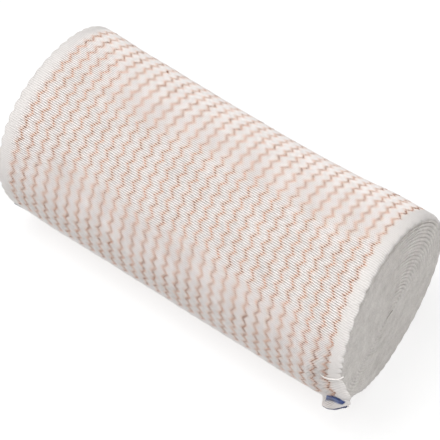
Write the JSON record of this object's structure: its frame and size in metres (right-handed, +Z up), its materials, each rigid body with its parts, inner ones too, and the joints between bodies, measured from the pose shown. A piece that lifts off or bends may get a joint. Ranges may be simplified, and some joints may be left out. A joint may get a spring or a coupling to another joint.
{
  "type": "elastic bandage roll",
  "caption": "White elastic bandage with thin orange-brown zigzag stripes, wound into a soft oval roll that lies on its side, its loose end tucked against the front.",
  "frame": {"origin": "on the surface that the roll lies on, under the middle of the whole part", "axes": "+X along the roll's axis, towards the end where the loose end's corner stands out; +Z up; -Y is the front, where the loose end runs down to its cut edge"},
  "size_m": [0.1676, 0.0788, 0.0689],
  "materials": {
    "striped_cloth": "soft matt elastic weave, white with 29 thin orange-brown zigzag stripes along the cloth and plain selvages"
  },
  "bodies": {
    "root": {"bandage_roll": "striped_cloth", "loose_end": "striped_cloth"}
  },
  "joints": []
}
